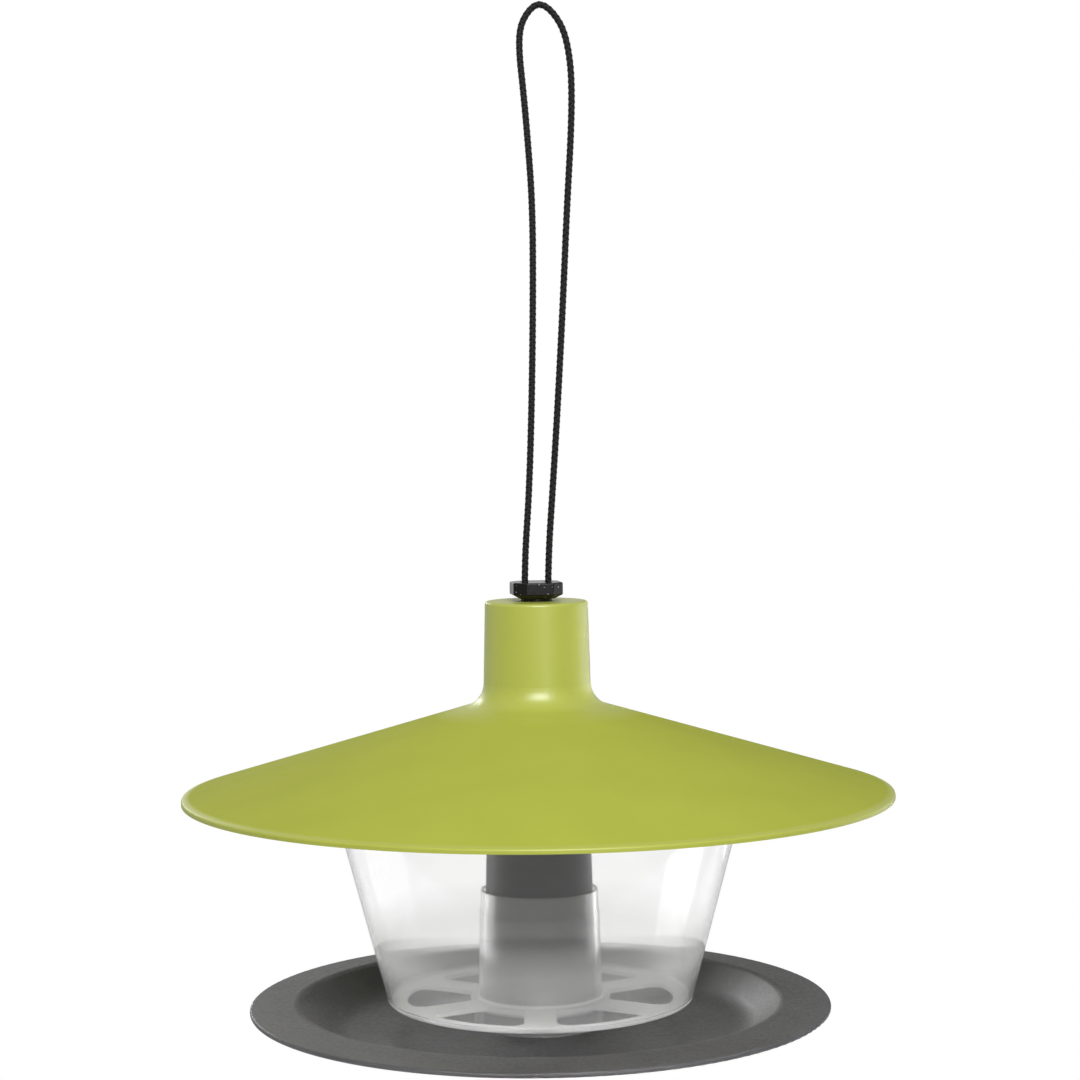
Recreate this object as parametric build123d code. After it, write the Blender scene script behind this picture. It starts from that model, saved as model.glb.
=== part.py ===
from build123d import *
import os
from math import atan2, cos, degrees, radians, tan

# A hanging bird feeder. A tray sits on the foot of a central post, a clear hopper with a slotted
# base stands in the tray, and a wide roof closes the hopper. The cord is knotted under the
# post's top, runs up through the roof and a sliding stopper, and ends in a loop to hang by.
#
# Lengths are in millimetres and angles in degrees. +Z is up, and the cord's two strands are
# apart along X. Heights are counted from the tray's floor, and the finished pieces are lowered
# so that the origin is the inside top of the cord's loop.

# Fits between the mouldings, and the taper that lets them nest
draft = 1.5
neck_fit = 0.3
sleeve_fit = 0.55
tray_hole_fit = 0.2
roof_gap = 0.3

# Rounding of a thin moulded edge, as a share of its wall
thin_edge_share = 0.3

# Roof
roof_diameter = 285.0
roof_slope = 16.67
roof_wall = 1.8
roof_lip = 1.8
roof_rim_round = 1.0
neck_diameter = 41.3
neck_height = 40.1
neck_bend = 10.0
neck_edge_round = 1.2
cord_slot_length = 13.6
cord_slot_width = 4.2

# Post
post_height = 168.9
post_wall = 2.0
post_top_wall = 2.5
post_edge_round = 1.2
foot_diameter = 68.0
foot_thickness = 2.4
foot_bend = 1.5
post_hole_diameter = 3.2

# Hopper
base_diameter = 122.2
base_clearance = 9.6
base_thickness = 1.8
base_round = 2.6
base_inner_round = 1.4
hopper_flare = 14.8
hopper_wall = 1.6
hopper_rim_round = 0.6
sleeve_height = 43.5
sleeve_wall = 1.5
sleeve_step = 0.3
sleeve_step_drop = 8.7
sleeve_root_round = 1.0
foot_ring_diameter = 54.0
foot_ring_wall = 1.8
slot_count = 6
slot_inner_radius = 28.2
slot_outer_radius = 53.8
slot_outer_round = 5.0
slot_inner_round = 1.5
spoke_width = 12.5

# Tray
tray_diameter = 233.6
tray_depth = 10.6
tray_wall = 2.0
tray_rim_width = 19.3
tray_rim_drop = 1.5
tray_side_run = 15.0
tray_floor_bend = 14.0
tray_rim_bend = 5.0
tray_edge_round = 0.9

# Stopper
stopper_width = 20.0
stopper_corner_cut = 4.6
stopper_turn = 9.0
stopper_grip_height = 4.9
stopper_taper_height = 1.65
stopper_boss_height = 1.1
stopper_boss_diameter = 12.6
stopper_edge_round = 0.6
stopper_hole_diameter = 3.0
stopper_hole_flare = 0.5

# Cord: its two strands leave the knots and pass the stopper upright, then run through these
# points, each (across, below the top of the loop), chosen to follow the way it hangs
cord_diameter = 2.4
strand_spacing = 9.4
strand_lead = 7.5
loop_reach = 228.1
knot_diameter = 7.0
knot_height = 6.0
knot_round = 1.8
arc_share = 0.45
left_strand = [
    (-3.3, -194.5),
    (-2.45, -158.5),
    (-2.15, -115.0),
    (-2.9, -79.0),
    (-4.75, -51.5),
    (-6.25, -32.5),
    (-7.75, -19.8),
    (-7.8, -10.3),
    (-5.7, -4.4),
    (-1.8, 0.0),
]
right_strand = [
    (1.8, 0.0),
    (5.75, -3.4),
    (9.5, -9.3),
    (11.8, -17.8),
    (13.15, -29.7),
    (13.05, -49.5),
    (11.55, -79.3),
    (10.25, -115.0),
    (8.15, -152.6),
    (6.45, -188.3),
]

# Places that follow from the sizes above
draft_run = tan(radians(draft))
slope_run = tan(radians(roof_slope))
flare_run = tan(radians(hopper_flare))
neck_radius = neck_diameter / 2
neck_low_radius = neck_radius + neck_height * draft_run
roof_radius = roof_diameter / 2
roof_top = post_height + roof_wall
cone_top = roof_top - neck_height
roof_rim_top = cone_top - (roof_radius - neck_low_radius) * slope_run
post_top_radius = neck_radius - roof_wall - neck_fit
post_foot_top = -tray_wall
base_radius = base_diameter / 2
base_top = base_clearance + base_thickness
sleeve_top = base_top + sleeve_height
stopper_height = stopper_grip_height + stopper_taper_height + stopper_boss_height
stopper_top = roof_top + stopper_height
hang_height = stopper_top + loop_reach
strand_places = [(-strand_spacing / 2, 0), (strand_spacing / 2, 0)]
knot_top = post_height - post_top_wall
on_bottom = (Align.CENTER, Align.CENTER, Align.MIN)


def post_radius(height):
    """Outside radius of the tapered post at a height over the tray's floor."""
    return post_top_radius + (post_height - height) * draft_run


def hopper_rim_height():
    """Height at which the flared hopper comes to the gap under the roof's sloping wall."""
    under_roof = roof_rim_top - roof_wall / cos(radians(roof_slope)) - roof_gap
    reach = roof_radius - base_radius + base_clearance * flare_run
    return (under_roof + reach * slope_run) / (1 + flare_run * slope_run)


def turned(outline):
    """Solid of revolution about the upright axis from a face drawn as (radius, height)."""
    return revolve(Plane.XZ * outline, Axis.Z)


def outline_of(corners):
    """Closed face through (radius, height, rounding) corners."""
    points = [(radius, height) for radius, height, rounding in corners]
    return make_face(FilletPolyline(*points, radius=[corner[2] for corner in corners], close=True))


def wall_under(corners, wall):
    """Face of even thickness under a line of (radius, height, rounding) corners."""
    points = [(radius, height) for radius, height, rounding in corners]
    line = FilletPolyline(*points, radius=[corner[2] for corner in corners[1:-1]])
    return make_face(offset(line, amount=wall, side=Side.RIGHT))


def strand_bores(diameter, bottom, depth):
    """Two upright cylinders on the strands' places, to cut the cord's holes with."""
    bore = Cylinder(diameter / 2, depth, align=on_bottom)
    return [Pos(across, along, bottom) * bore for across, along in strand_places]


def tray():
    """Shallow dish with a wide, slightly falling rim and a hole for the post."""
    rim_radius = tray_diameter / 2
    side_top = rim_radius - tray_rim_width
    hole_radius = post_radius(post_foot_top) + tray_hole_fit
    section = wall_under(
        [
            (hole_radius, 0, 0),
            (side_top - tray_side_run, 0, tray_floor_bend),
            (side_top, tray_depth, tray_rim_bend),
            (rim_radius, tray_depth - tray_rim_drop, 0),
        ],
        tray_wall,
    )
    rim_corners = section.vertices().sort_by(Axis.X)[-2:]
    return turned(fillet(rim_corners, tray_edge_round))


def post():
    """Tapered tube with a closed top, two cord holes and a foot that carries the tray."""
    foot_radius = foot_diameter / 2
    foot_bottom = post_foot_top - foot_thickness
    foot_round = foot_thickness * thin_edge_share
    section = outline_of(
        [
            (0, post_height, 0),
            (post_radius(post_height), post_height, post_edge_round),
            (post_radius(post_foot_top), post_foot_top, 0),
            (foot_radius, post_foot_top, foot_round),
            (foot_radius, foot_bottom, foot_round),
            (post_radius(foot_bottom) - post_wall, foot_bottom, foot_bend),
            (post_radius(knot_top) - post_wall, knot_top, 0),
            (0, knot_top, 0),
        ]
    )
    return turned(section) - strand_bores(post_hole_diameter, knot_top, post_top_wall)


def slots():
    """The pattern of feeding slots: a ring cut up by straight spokes with rounded corners."""
    spoke = Pos(slot_outer_radius / 2, 0) * Rectangle(slot_outer_radius, spoke_width)
    pitch = 360 / slot_count
    spokes = [Rot(0, 0, (number + 0.5) * pitch) * spoke for number in range(slot_count)]
    pattern = Circle(slot_outer_radius) - Circle(slot_inner_radius) - spokes
    middle = (slot_inner_radius + slot_outer_radius) / 2
    outer = [corner for corner in pattern.vertices() if corner.center().length > middle]
    pattern = fillet(outer, slot_outer_round)
    inner_reach = slot_inner_radius + slot_inner_round
    inner = [corner for corner in pattern.vertices() if corner.center().length < inner_reach]
    return fillet(inner, slot_inner_round)


def hopper():
    """Clear flared cup with a slotted base, a sleeve round the post and a foot ring."""
    rim = hopper_rim_height()
    rim_radius = base_radius + (rim - base_clearance) * flare_run
    wall_across = hopper_wall / cos(radians(hopper_flare))
    floor_radius = base_radius + base_thickness * flare_run - wall_across
    bore_top = post_radius(sleeve_top) + sleeve_fit
    bore_bottom = post_radius(base_clearance) + sleeve_fit
    step = sleeve_top - sleeve_step_drop
    step_radius = post_radius(step) + sleeve_fit + sleeve_wall
    root_radius = post_radius(base_top) + sleeve_fit + sleeve_wall + sleeve_step
    sleeve_rim_round = sleeve_wall * thin_edge_share
    ring_radius = foot_ring_diameter / 2
    ring_round = foot_ring_wall * thin_edge_share
    section = outline_of(
        [
            (ring_radius, base_clearance, 0),
            (base_radius, base_clearance, base_round),
            (rim_radius, rim, hopper_rim_round),
            (rim_radius - wall_across, rim, hopper_rim_round),
            (floor_radius, base_top, base_inner_round),
            (root_radius, base_top, sleeve_root_round),
            (step_radius + sleeve_step, step, 0),
            (step_radius, step, 0),
            (bore_top + sleeve_wall, sleeve_top, sleeve_rim_round),
            (bore_top, sleeve_top, sleeve_rim_round),
            (bore_bottom, base_clearance, 0),
            (ring_radius - foot_ring_wall, base_clearance, 0),
            (ring_radius - foot_ring_wall, 0, ring_round),
            (ring_radius, 0, ring_round),
        ]
    )
    return turned(section) - Pos(0, 0, base_clearance) * extrude(slots(), base_thickness)


def roof():
    """Wide cone with a tall closed neck, and a slot in its top for the two strands."""
    section = wall_under(
        [
            (0, roof_top, 0),
            (neck_radius, roof_top, neck_edge_round),
            (neck_low_radius, cone_top, neck_bend),
            (roof_radius, roof_rim_top, roof_rim_round),
            (roof_radius, roof_rim_top - roof_lip, 0),
        ],
        roof_wall,
    )
    slot = extrude(SlotOverall(cord_slot_length, cord_slot_width), roof_wall)
    return turned(section) - Pos(0, 0, post_height) * slot


def stopper():
    """Square button with cut corners, tapered under to a round boss, with two flared cord holes."""
    square = Rectangle(stopper_width, stopper_width)
    outline = chamfer(square.vertices(), stopper_corner_cut)
    taper_run = (stopper_width - stopper_boss_diameter) / 2 - stopper_edge_round
    slant = degrees(atan2(taper_run, stopper_taper_height))
    grip = extrude(outline, stopper_grip_height)
    grip += extrude(outline, stopper_taper_height, dir=(0, 0, -1), taper=slant)
    grip = fillet(grip.edges(), stopper_edge_round)
    boss = Cylinder(stopper_boss_diameter / 2, stopper_height, align=on_bottom)
    body = Rot(0, 0, stopper_turn) * grip
    body += Pos(0, 0, stopper_grip_height - stopper_height) * boss
    body -= strand_bores(stopper_hole_diameter, stopper_grip_height - stopper_height, stopper_height)
    mouths = body.faces().sort_by(Axis.Z)[-1].inner_wires()
    body = chamfer([edge for mouth in mouths for edge in mouth.edges()], stopper_hole_flare)
    return Pos(0, 0, stopper_top - stopper_grip_height) * body


def cord_route():
    """Corner points of the cord's centre line, from the left knot over the loop to the right."""
    side = strand_spacing / 2
    lead = stopper_top + strand_lead
    top = hang_height + cord_diameter / 2
    loop = [(across, 0, top + below) for across, below in left_strand + right_strand]
    return [(-side, 0, knot_top), (-side, 0, lead), *loop, (side, 0, lead), (side, 0, knot_top)]


def cord_radii(points):
    """The largest arc at each corner of a route that its two runs leave room for."""
    radii = []
    for before, corner, after in zip(points, points[1:], points[2:]):
        arriving = Vector(*corner) - Vector(*before)
        leaving = Vector(*after) - Vector(*corner)
        half_turn = radians(arriving.get_angle(leaving)) / 2
        radii.append(arc_share * min(arriving.length, leaving.length) / tan(half_turn))
    return radii


def cord():
    """Tube along straight runs and tangent arcs."""
    points = cord_route()
    radii = cord_radii(points)
    path = FilletPolyline(*points, radius=radii)
    tube = sweep(Plane(origin=points[0], z_dir=path % 0) * Circle(cord_diameter / 2), path=path)
    drawn = path.length * Circle(cord_diameter / 2).area
    print("cord length", round(path.length, 1))
    print("cord volume over section times length", round(tube.volume / drawn, 4))
    print("cord radii", [round(radius, 1) for radius in radii])
    return tube


def knots():
    """The two stopper knots under the post's top, as rounded beads with a flat bearing face."""
    radius = knot_diameter / 2
    bead = outline_of(
        [
            (0, 0, 0),
            (radius, 0, knot_round),
            (radius, -knot_height, knot_round),
            (0, -knot_height, 0),
        ]
    )
    return [Pos(across, along, knot_top) * turned(bead) for across, along in strand_places]


pieces = {
    "tray": tray(),
    "post": post(),
    "hopper": hopper(),
    "roof": roof(),
    "stopper": stopper(),
    "hanging_cord": cord(),
    "cord_knots": Compound(knots()),
}

os.makedirs("parts", exist_ok=True)
for name, piece in pieces.items():
    export_step(Pos(0, 0, -hang_height) * piece, f"parts/{name}.step")
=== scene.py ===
"""Studio picture of a hanging bird feeder: green roof, clear hopper, dark tray and plaited cord."""
from math import cos, pi, radians, sin

import bpy
from mathutils import Matrix, Vector


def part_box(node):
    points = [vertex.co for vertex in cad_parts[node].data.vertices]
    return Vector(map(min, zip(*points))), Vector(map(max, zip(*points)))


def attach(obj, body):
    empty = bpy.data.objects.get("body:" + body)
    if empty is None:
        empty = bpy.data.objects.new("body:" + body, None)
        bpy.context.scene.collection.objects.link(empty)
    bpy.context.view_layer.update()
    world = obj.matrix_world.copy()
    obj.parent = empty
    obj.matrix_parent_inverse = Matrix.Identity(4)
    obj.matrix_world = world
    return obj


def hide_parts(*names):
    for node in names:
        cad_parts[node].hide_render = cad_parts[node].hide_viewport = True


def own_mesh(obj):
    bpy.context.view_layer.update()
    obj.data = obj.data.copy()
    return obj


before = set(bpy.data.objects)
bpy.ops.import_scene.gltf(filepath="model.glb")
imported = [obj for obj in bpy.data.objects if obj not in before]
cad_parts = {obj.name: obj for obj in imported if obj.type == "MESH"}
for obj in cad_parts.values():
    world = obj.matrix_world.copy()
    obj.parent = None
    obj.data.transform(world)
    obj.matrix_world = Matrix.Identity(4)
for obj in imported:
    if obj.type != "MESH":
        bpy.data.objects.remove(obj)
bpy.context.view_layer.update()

# Places and sizes in metres, from the frame. The origin is the inside top of the cord's loop.
tray_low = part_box("tray")[0]
hopper_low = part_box("hopper")[0]
roof_low, roof_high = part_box("roof")
stopper_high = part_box("stopper")[1]
cord_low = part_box("hanging_cord")[0]
knots_low, knots_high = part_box("cord_knots")
neck_height = 0.0401
neck_fillet = 0.006
rim_height = 0.0025
rim_blend = 0.0003
foot_height = 0.0096
cone_top = roof_high.z - neck_height
rim_edge = roof_low.z + rim_height
hopper_base = hopper_low.z + foot_height

# Cord: the route's points as (across, below the loop's top), lowest first on the left strand
cord_diameter = 0.0024
strand_spacing = 0.0094
strand_lead = 0.0075
left_strand = [
    (-0.003, -0.1945),
    (-0.0021, -0.1585),
    (-0.0018, -0.115),
    (-0.0022, -0.079),
    (-0.0044, -0.0515),
    (-0.00625, -0.0325),
    (-0.00775, -0.0198),
    (-0.0078, -0.0103),
    (-0.0057, -0.0044),
    (-0.0018, 0.0),
]
right_strand = [
    (0.0018, 0.0),
    (0.00575, -0.0034),
    (0.0095, -0.0093),
    (0.0118, -0.0178),
    (0.01315, -0.0297),
    (0.01305, -0.0495),
    (0.01155, -0.0793),
    (0.01025, -0.115),
    (0.0086, -0.1526),
    (0.0067, -0.1883),
]
# The feeder hangs a little askew, so its loop's top stands off its own axis
loop_lean = 0.0036

# Plait of the cord: strands of each hand, their lay and section
plait_strands = 3
plait_lay = 0.0068
plait_sides = 6
plait_step = 0.00044
strand_width = 0.00165
strand_thickness = 0.00098
plait_weave = 0.00017
plait_diameter = 0.00295

# Turns of a knot: shares of its reach to the side and to the back, and heights over its middle
knot_reach = 0.0022
knot_turns = [
    (0.0, 0.0, 0.0),
    (0.4, -1.0, -0.002),
    (1.0, -0.3, -0.0003),
    (0.5, 1.0, 0.0006),
    (-0.7, 0.8, 0.0002),
    (-1.0, -0.5, -0.0006),
    (-0.1, -1.0, 0.0003),
    (0.6, 0.2, -0.0014),
    (0.2, 0.5, -0.0023),
]

# The part of a noise's range that its values mostly fill
noise_low = 0.3
noise_high = 0.7

# Haze of the clear plastic: the share below and above, and the two heights over the hopper's base between
haze_rising = (0.12, 0.27, 0.010, 0.022)
haze_falling = (1.0, 0.03, 0.022, 0.037)
haze_plate = (0.7, 0.0, 0.0022, 0.0028)
haze_foot = (0.1, 1.0, -0.002, 0.0)
# The same by distance from the axis: the haze from sleeve to wall, and the sleeve's own milk
haze_outward = (0.5, 1.0, 0.026, 0.040)
sleeve_milk = (0.06, 0.0, 0.025, 0.028)
haze_most = 0.9
clear_least = 0.55
clear_roughness = 0.04
haze_roughness = 0.5

# Camera
camera_lens = 85.17
camera_sensor = 36.0
camera_place = (0.00175, -1.0224, -0.1625)
camera_pitch = -2.738
camera_roll = -0.6

# Surroundings: the floor, its own white, the world's light, and the share of white that gloss shows
floor_radius = 0.36
floor_steps = 96
floor_drop = 0.12
floor_height = tray_low.z - floor_drop
floor_lift = 0.35
world_light = 0.12
gloss_share = 0.55

# Lamps aim at the whole feeder or at one place on it
lamp_aim = Vector((0, 0, -0.33))
hopper_aim = Vector((0, 0, hopper_low.z + 0.012))
tray_aim = Vector((0.05, 0, hopper_low.z - 0.01))
far_aim = Vector((0, 0.13, hopper_low.z + 0.01))
neck_aim = Vector((0, 0, roof_high.z - 0.02))


def shown(name, mesh, material, body):
    """A new piece of the object, from a mesh in the row frame."""
    piece = bpy.data.objects.new(name, mesh)
    bpy.context.scene.collection.objects.link(piece)
    mesh.materials.append(material)
    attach(piece, body)
    return piece


# Materials

def plastic(name, color, roughness, specular=0.5):
    """A principled material, with its shader and its nodes and links to build on."""
    material = bpy.data.materials.new(name)
    material.use_nodes = True
    nodes = material.node_tree.nodes
    shader = nodes["Principled BSDF"]
    shader.inputs["Base Color"].default_value = (*color, 1)
    shader.inputs["Roughness"].default_value = roughness
    shader.inputs["Specular IOR Level"].default_value = specular
    return material, shader, nodes, material.node_tree.links


def noise(nodes, links, scale, detail=2.0):
    """A noise texture in the row frame, with cells about 1 / scale metres wide."""
    place = nodes.new("ShaderNodeTexCoord")
    texture = nodes.new("ShaderNodeTexNoise")
    texture.inputs["Scale"].default_value = scale
    texture.inputs["Detail"].default_value = detail
    links.new(place.outputs["Object"], texture.inputs["Vector"])
    return texture.outputs["Fac"]


def spread(nodes, links, source, low, high, from_low=noise_low, from_high=noise_high):
    """A value that goes from low to high while its source goes through a range."""
    ranged = nodes.new("ShaderNodeMapRange")
    ranged.inputs["From Min"].default_value = from_low
    ranged.inputs["From Max"].default_value = from_high
    ranged.inputs["To Min"].default_value = low
    ranged.inputs["To Max"].default_value = high
    links.new(source, ranged.inputs["Value"])
    return ranged.outputs["Result"]


def over_base(nodes, links, height, low, high, bottom, top):
    """A value that goes from low to high between two heights over the hopper's base."""
    return spread(nodes, links, height, low, high, hopper_base + bottom, hopper_base + top)


def joined(nodes, links, operation, first, second):
    """One value worked out from two."""
    node = nodes.new("ShaderNodeMath")
    node.operation = operation
    links.new(first, node.inputs[0])
    links.new(second, node.inputs[1])
    return node.outputs["Value"]


def object_height(nodes, links):
    """The height of a point in the row frame."""
    place = nodes.new("ShaderNodeTexCoord")
    parts = nodes.new("ShaderNodeSeparateXYZ")
    links.new(place.outputs["Object"], parts.inputs["Vector"])
    return parts.outputs["Z"]


def axis_distance(nodes, links):
    """The distance of a point from the feeder's upright axis."""
    place = nodes.new("ShaderNodeTexCoord")
    flat = nodes.new("ShaderNodeVectorMath")
    flat.operation = "MULTIPLY"
    flat.inputs[1].default_value = (1, 1, 0)
    length = nodes.new("ShaderNodeVectorMath")
    length.operation = "LENGTH"
    links.new(place.outputs["Object"], flat.inputs[0])
    links.new(flat.outputs["Vector"], length.inputs[0])
    return length.outputs["Value"]


def tinted(nodes, links, source, dark, light):
    """A colour between two that follows a noise."""
    ramp = nodes.new("ShaderNodeValToRGB")
    ramp.color_ramp.elements[0].position = noise_low
    ramp.color_ramp.elements[0].color = (*dark, 1)
    ramp.color_ramp.elements[1].position = noise_high
    ramp.color_ramp.elements[1].color = (*light, 1)
    links.new(source, ramp.inputs["Fac"])
    return ramp.outputs["Color"]


def grain(nodes, links, shader, scale, depth):
    """Fine moulded grain, as bumps of that depth in metres."""
    bump = nodes.new("ShaderNodeBump")
    bump.inputs["Strength"].default_value = 1.0
    bump.inputs["Distance"].default_value = depth
    links.new(noise(nodes, links, scale, detail=3.0), bump.inputs["Height"])
    links.new(bump.outputs["Normal"], shader.inputs["Normal"])


def green_plastic():
    """Lime green moulded plastic with a fine grain, matt on the cone and polished on the neck and rim."""
    material, shader, nodes, links = plastic("green_plastic", (0.44, 0.48, 0.07), 0.75, specular=0.05)
    cloud = noise(nodes, links, 35.0)
    tint = tinted(nodes, links, cloud, (0.43, 0.47, 0.068), (0.45, 0.49, 0.072))
    links.new(tint, shader.inputs["Base Color"])
    height = object_height(nodes, links)
    neck = spread(nodes, links, height, 0.0, 1.0, cone_top - neck_fillet, cone_top)
    rim = spread(nodes, links, height, 0.6, 0.0, rim_edge - rim_blend, rim_edge + rim_blend)
    links.new(joined(nodes, links, "ADD", neck, rim), shader.inputs["Coat Weight"])
    shader.inputs["Coat Roughness"].default_value = 0.35
    shader.inputs["Coat IOR"].default_value = 1.65
    links.new(spread(nodes, links, noise(nodes, links, 900.0), 0.7, 0.8), shader.inputs["Roughness"])
    grain(nodes, links, shader, 1700.0, 0.00006)
    return material


def grey_plastic(name, color, roughness, depth):
    """Dark grey moulded plastic with a grained skin."""
    material, shader, nodes, links = plastic(name, color, roughness, specular=0.25)
    cloud = noise(nodes, links, 60.0, detail=4.0)
    darker = tuple(0.9 * part for part in color)
    lighter = tuple(1.1 * part for part in color)
    links.new(tinted(nodes, links, cloud, darker, lighter), shader.inputs["Base Color"])
    worn = spread(nodes, links, noise(nodes, links, 700.0), roughness - 0.07, roughness + 0.07)
    links.new(worn, shader.inputs["Roughness"])
    grain(nodes, links, shader, 1400.0, depth)
    return material


def clear_plastic():
    """Clear plastic with a band of haze above the hopper's base, a hazy base and a milky sleeve."""
    material, shader, nodes, links = plastic("clear_plastic", (1.0, 1.0, 1.0), clear_roughness)
    shader.inputs["IOR"].default_value = 1.49
    shader.inputs["Specular Tint"].default_value = (0.7, 0.7, 0.7, 1)
    height = object_height(nodes, links)
    outward = spread(nodes, links, axis_distance(nodes, links), *haze_outward)
    rising = over_base(nodes, links, height, *haze_rising)
    falling = over_base(nodes, links, height, *haze_falling)
    wall = joined(nodes, links, "MULTIPLY", joined(nodes, links, "MULTIPLY", rising, falling), outward)
    plate = over_base(nodes, links, height, *haze_plate)
    foot = over_base(nodes, links, height, *haze_foot)
    haze = joined(nodes, links, "MULTIPLY", joined(nodes, links, "MAXIMUM", wall, plate), foot)
    # Haze is a share of rough specks, too fine to be seen singly
    specks = nodes.new("ShaderNodeTexWhiteNoise")
    place = nodes.new("ShaderNodeTexCoord")
    links.new(place.outputs["Object"], specks.inputs["Vector"])
    scattered = joined(nodes, links, "LESS_THAN", specks.outputs["Value"], haze)
    rough = spread(nodes, links, scattered, clear_roughness, haze_roughness, 0.0, 1.0)
    links.new(rough, shader.inputs["Roughness"])
    clear = spread(nodes, links, haze, 1.0, clear_least, 0.0, haze_most)
    sleeve = spread(nodes, links, axis_distance(nodes, links), *sleeve_milk)
    links.new(joined(nodes, links, "SUBTRACT", clear, sleeve), shader.inputs["Transmission Weight"])
    absorption = nodes.new("ShaderNodeVolumeAbsorption")
    absorption.inputs["Color"].default_value = (0, 0, 0, 1)
    absorption.inputs["Density"].default_value = 12.0
    links.new(absorption.outputs["Volume"], nodes["Material Output"].inputs["Volume"])
    return material


def black_plastic():
    """Glossy black moulded plastic with a few pale specks painted on as glints."""
    black = (0.008, 0.008, 0.008)
    glint_pale = (0.6, 0.6, 0.6)
    material, shader, nodes, links = plastic("black_plastic", black, 0.16, specular=0.15)
    # Pale specks in the base colour are painted glints, not real marks
    glint_specks = spread(nodes, links, noise(nodes, links, 1200.0, detail=1.0), 0.0, 1.0, 0.71, 0.76)
    links.new(tinted(nodes, links, glint_specks, black, glint_pale), shader.inputs["Base Color"])
    worn = spread(nodes, links, noise(nodes, links, 500.0, detail=3.0), 0.10, 0.22)
    links.new(worn, shader.inputs["Roughness"])
    grain(nodes, links, shader, 800.0, 0.00003)
    return material


def cord_yarn():
    """Black synthetic yarn with a fine grain of fibres and a little sheen."""
    material, shader, nodes, links = plastic("cord_yarn", (0.006, 0.006, 0.006), 0.6, specular=0.25)
    fibres = noise(nodes, links, 2500.0)
    tint = tinted(nodes, links, fibres, (0.004, 0.004, 0.004), (0.009, 0.009, 0.009))
    links.new(tint, shader.inputs["Base Color"])
    shader.inputs["Sheen Weight"].default_value = 0.06
    shader.inputs["Sheen Roughness"].default_value = 0.5
    grain(nodes, links, shader, 5000.0, 0.00006)
    return material


def dress_frame():
    """The CAD pieces that show get their finish."""
    finishes = {
        "roof": green_plastic(),
        "tray": grey_plastic("tray_plastic", (0.085, 0.083, 0.088), 0.48, depth=0.00006),
        "post": grey_plastic("post_plastic", (0.026, 0.025, 0.028), 0.5, depth=0.000012),
        "hopper": clear_plastic(),
        "stopper": black_plastic(),
    }
    for node, material in finishes.items():
        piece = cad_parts[node]
        piece.data.materials.clear()
        piece.data.materials.append(material)
    # Lamps reach the pieces inside through the clear plastic
    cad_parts["hopper"].visible_shadow = False


# Cord

def cord_route():
    """The cord's control points, from the left knot over the loop to the right knot."""
    side = strand_spacing / 2
    lead = stopper_high.z + strand_lead
    top = cord_diameter / 2
    reach = top - stopper_high.z
    left = [(-side, cord_low.z), (-side, lead)] + [(x, top + below) for x, below in left_strand]
    right = [(x, top + below) for x, below in right_strand] + [(side, lead), (side, cord_low.z)]
    return [(x + loop_lean * max(0, 1 - (top - z) / reach), 0, z) for x, z in left + right]


def smooth_line(route):
    """Closely spaced points along the smooth spline of a route."""
    curve = bpy.data.curves.new("cord_route", "CURVE")
    curve.dimensions = "3D"
    curve.resolution_u = 64
    spline = curve.splines.new("NURBS")
    spline.points.add(len(route) - 1)
    for point, place in zip(spline.points, route):
        point.co = (*place, 1)
    spline.order_u = 3
    spline.use_endpoint_u = True
    holder = bpy.data.objects.new("cord_route", curve)
    mesh = bpy.data.meshes.new_from_object(holder)
    line = [vertex.co.copy() for vertex in mesh.vertices]
    bpy.data.objects.remove(holder)
    bpy.data.curves.remove(curve)
    bpy.data.meshes.remove(mesh)
    return line


def evenly(line, step):
    """Points of a line at even distances, about a step apart, and the distance of each."""
    reaches = [0.0]
    for before, after in zip(line, line[1:]):
        reaches.append(reaches[-1] + (after - before).length)
    count = round(reaches[-1] / step)
    points = []
    distances = [reaches[-1] * number / count for number in range(count + 1)]
    span = 0
    for distance in distances:
        while span < len(line) - 2 and reaches[span + 1] < distance:
            span += 1
        share = (distance - reaches[span]) / (reaches[span + 1] - reaches[span])
        points.append(line[span].lerp(line[span + 1], share))
    return points, distances


def carried_frames(points, across):
    """The tangent and two square directions at each point, turned as little as the line lets them."""
    frames = []
    for place in range(len(points)):
        tangent = (points[min(place + 1, len(points) - 1)] - points[max(place - 1, 0)]).normalized()
        across = (across - across.dot(tangent) * tangent).normalized()
        frames.append((tangent, tangent.cross(across), across))
    return frames


def plait(name, line):
    """Strands of both hands, woven one over one round a line, with the points and length of that line."""
    points, distances = evenly(line, plait_step)
    frames = carried_frames(points, Vector((0, 1, 0)))
    middle = plait_diameter / 2 - strand_thickness / 2 - plait_weave
    vertices = []
    faces = []
    for hand in (1, -1):
        for number in range(plait_strands):
            first = len(vertices)
            for place, distance in enumerate(distances):
                tangent, outward, across = frames[place]
                turn = 2 * pi * (number / plait_strands + hand * distance / plait_lay)
                weave = hand * plait_weave * cos(2 * pi * plait_strands * distance / plait_lay)
                radial = cos(turn) * outward + sin(turn) * across
                flank = tangent.cross(radial)
                centre = points[place] + (middle + weave) * radial
                for side in range(plait_sides):
                    angle = 2 * pi * side / plait_sides
                    vertices.append(centre + strand_thickness / 2 * cos(angle) * radial
                                    + strand_width / 2 * sin(angle) * flank)
                if place:
                    ring = first + place * plait_sides
                    for side in range(plait_sides):
                        beside = (side + 1) % plait_sides
                        faces.append((ring + side, ring + beside, ring - plait_sides + beside,
                                      ring - plait_sides + side))
            last = len(vertices) - plait_sides
            faces.append(tuple(range(first + plait_sides - 1, first - 1, -1)))
            faces.append(tuple(range(last, last + plait_sides)))
    mesh = bpy.data.meshes.new(name)
    mesh.from_pydata(vertices, [], faces)
    mesh.shade_smooth()
    return mesh, points, distances[-1]


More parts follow.
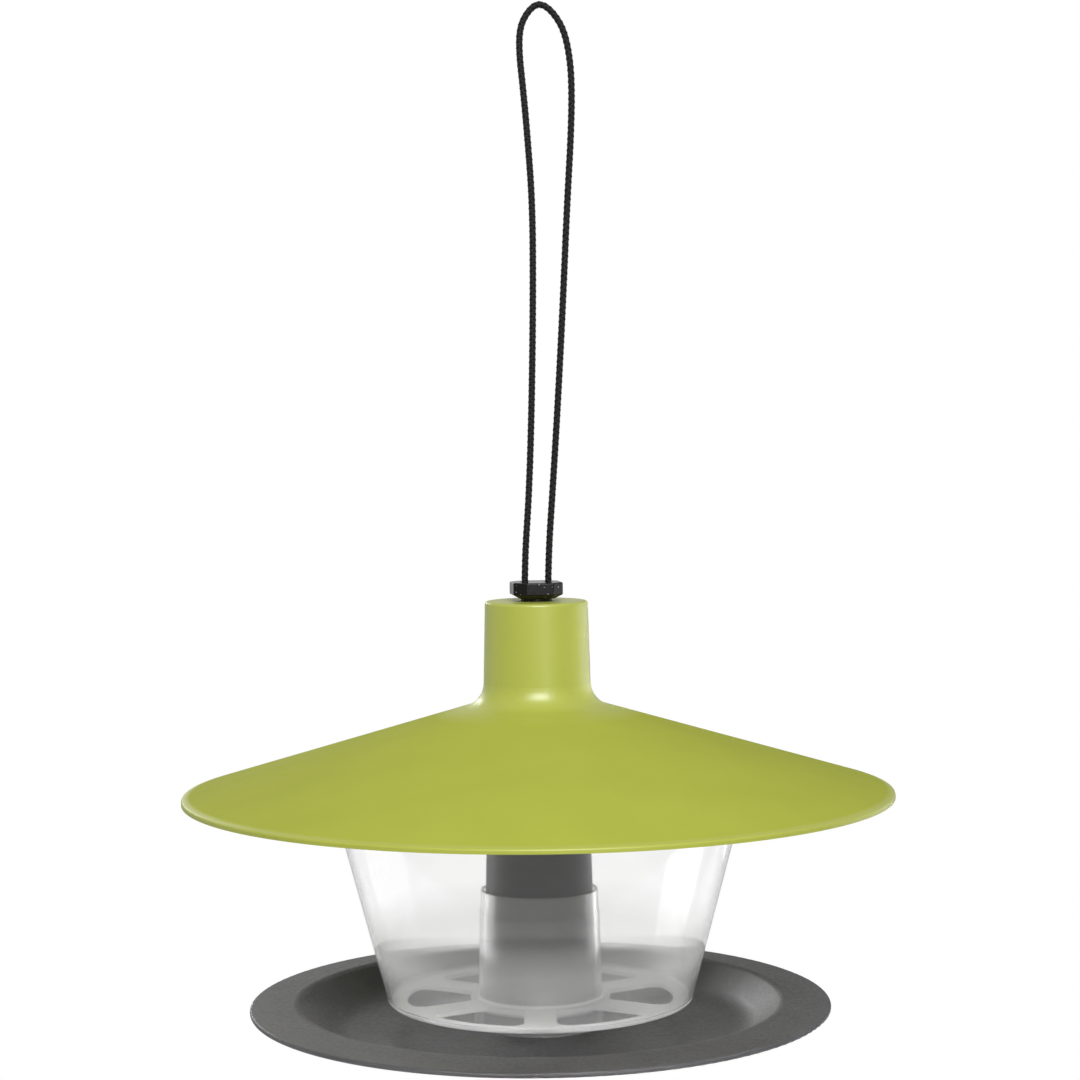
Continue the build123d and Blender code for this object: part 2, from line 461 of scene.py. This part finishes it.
def knot_route(side):
    """Control points of a stopper knot: down from the post's top, round the strand and into the loop."""
    x = side * strand_spacing / 2
    middle = (knots_high.z + knots_low.z) / 2
    turns = [(x + right * knot_reach, back * knot_reach, middle + up) for right, back, up in knot_turns]
    return [(x, 0, knots_high.z)] + turns


def make_knot(side, name, yarn):
    """A knot on one end of the cord, of the same plait."""
    mesh, _, _ = plait(name, smooth_line(knot_route(side)))
    return shown(name, mesh, yarn, "base")


def make_cord(yarn):
    """The plaited cord with its knots under the post's top."""
    knots = [make_knot(-1, "left_knot", yarn), make_knot(1, "right_knot", yarn)]
    for knot in knots:
        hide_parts("cord_knots")
    mesh, path, length = plait("hanging_cord_plait", smooth_line(cord_route()))
    cord = shown("hanging_cord_plait", mesh, yarn, "base")
    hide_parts("hanging_cord")
    # Each piece of cord gets a mesh of its own
    for piece in (cord, *knots):
        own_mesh(piece)


# Stage

def seen_white(nodes, links):
    """1 where the camera looks, straight or through plastic, less off gloss, and 0 for rays that light."""
    path = nodes.new("ShaderNodeLightPath")
    camera_ray = path.outputs["Is Camera Ray"]
    clear_ray = path.outputs["Is Transmission Ray"]
    gloss = spread(nodes, links, path.outputs["Is Glossy Ray"], 0.0, gloss_share, 0.0, 1.0)
    seen = joined(nodes, links, "MAXIMUM", camera_ray, clear_ray)
    seen = joined(nodes, links, "MAXIMUM", seen, gloss)
    lighting = joined(nodes, links, "MINIMUM", path.outputs["Diffuse Depth"], seen)
    return joined(nodes, links, "SUBTRACT", seen, lighting)


def make_floor():
    """Plain pale floor under the hanging feeder, which runs out into the white surroundings."""
    mesh = bpy.data.meshes.new("floor")
    turns = [2 * pi * step / floor_steps for step in range(floor_steps)]
    rim = [(floor_radius * cos(turn), floor_radius * sin(turn), floor_height) for turn in turns]
    mesh.from_pydata(rim, [], [tuple(range(floor_steps))])
    floor = bpy.data.objects.new("floor", mesh)
    bpy.context.scene.collection.objects.link(floor)
    material, shader, nodes, links = plastic("floor_paper", (0.85, 0.85, 0.85), 0.9, specular=0.1)
    lift = spread(nodes, links, seen_white(nodes, links), 0.0, floor_lift, 0.0, 1.0)
    shader.inputs["Emission Color"].default_value = (1, 1, 1, 1)
    links.new(lift, shader.inputs["Emission Strength"])
    # Nothing of the floor shows from below
    side = nodes.new("ShaderNodeNewGeometry")
    upper = spread(nodes, links, side.outputs["Backfacing"], 1.0, 0.0, 0.0, 1.0)
    links.new(upper, shader.inputs["Alpha"])
    mesh.materials.append(material)


def make_world():
    """White surroundings, which light the feeder softly."""
    world = bpy.data.worlds.new("studio")
    world.use_nodes = True
    nodes = world.node_tree.nodes
    links = world.node_tree.links
    background = nodes["Background"]
    background.inputs["Color"].default_value = (1, 1, 1, 1)
    strength = spread(nodes, links, seen_white(nodes, links), world_light, 1.0, 0.0, 1.0)
    links.new(strength, background.inputs["Strength"])
    bpy.context.scene.world = world


def make_lamp(name, azimuth, elevation, size, power, spread_angle=180, distance=1.4, aim=lamp_aim,
              glossy=True, through=False):
    """A softbox aimed at the feeder: azimuth 0 is in front of it, and 90 to its right."""
    turn = radians(azimuth)
    rise = radians(elevation)
    towards = Vector((cos(rise) * sin(turn), -cos(rise) * cos(turn), sin(rise)))
    light = bpy.data.lights.new(name, "AREA")
    light.shape = "RECTANGLE"
    light.size, light.size_y = size
    light.energy = power
    light.spread = radians(spread_angle)
    lamp = bpy.data.objects.new(name, light)
    lamp.visible_transmission = through
    lamp.visible_glossy = glossy
    lamp.location = aim + distance * towards
    lamp.rotation_euler = (-towards).to_track_quat("-Z", "Y").to_euler()
    bpy.context.scene.collection.objects.link(lamp)


def make_lamps():
    """Softboxes round the feeder, and small lamps that bring out single places on it."""
    make_lamp("key", azimuth=6, elevation=39, size=(0.7, 0.7), power=17.5)
    make_lamp("front", azimuth=20, elevation=16, size=(0.35, 1.0), power=2.0)
    make_lamp("low_left", azimuth=-115, elevation=3, size=(0.9, 0.9), power=6.5, glossy=False, through=True)
    make_lamp("low_front", azimuth=0, elevation=0, size=(0.7, 0.03), power=0.05, spread_angle=5,
              distance=0.9, aim=hopper_aim)
    make_lamp("back_left", azimuth=-155, elevation=18, size=(0.3, 0.2), power=0.04, spread_angle=16,
              distance=1.2, aim=tray_aim)
    make_lamp("back_left_wide", azimuth=-155, elevation=18, size=(0.5, 0.4), power=0.09, spread_angle=40,
              distance=1.2, aim=tray_aim)
    make_lamp("back_right", azimuth=125, elevation=-2, size=(1.2, 0.8), power=3.2, through=True)
    make_lamp("back", azimuth=180, elevation=13, size=(0.13, 0.004), power=0.004, spread_angle=1,
              distance=1.2, aim=far_aim)
    make_lamp("neck_right", azimuth=121, elevation=-14, size=(0.25, 0.25), power=0.11, spread_angle=8,
              distance=1.2, aim=neck_aim, glossy=False)


def make_camera():
    """The photograph's camera, rolled a little because the feeder hangs askew."""
    data = bpy.data.cameras.new("camera")
    data.sensor_fit = "HORIZONTAL"
    data.sensor_width = camera_sensor
    data.lens = camera_lens
    camera = bpy.data.objects.new("camera", data)
    level = Matrix.Translation(camera_place) @ Matrix.Rotation(radians(90 + camera_pitch), 4, "X")
    camera.matrix_world = level @ Matrix.Rotation(radians(camera_roll), 4, "Z")
    bpy.context.scene.collection.objects.link(camera)
    bpy.context.scene.camera = camera


dress_frame()
make_cord(cord_yarn())
make_floor()
make_world()
make_lamps()
make_camera()
bpy.context.scene.view_settings.view_transform = "Standard"
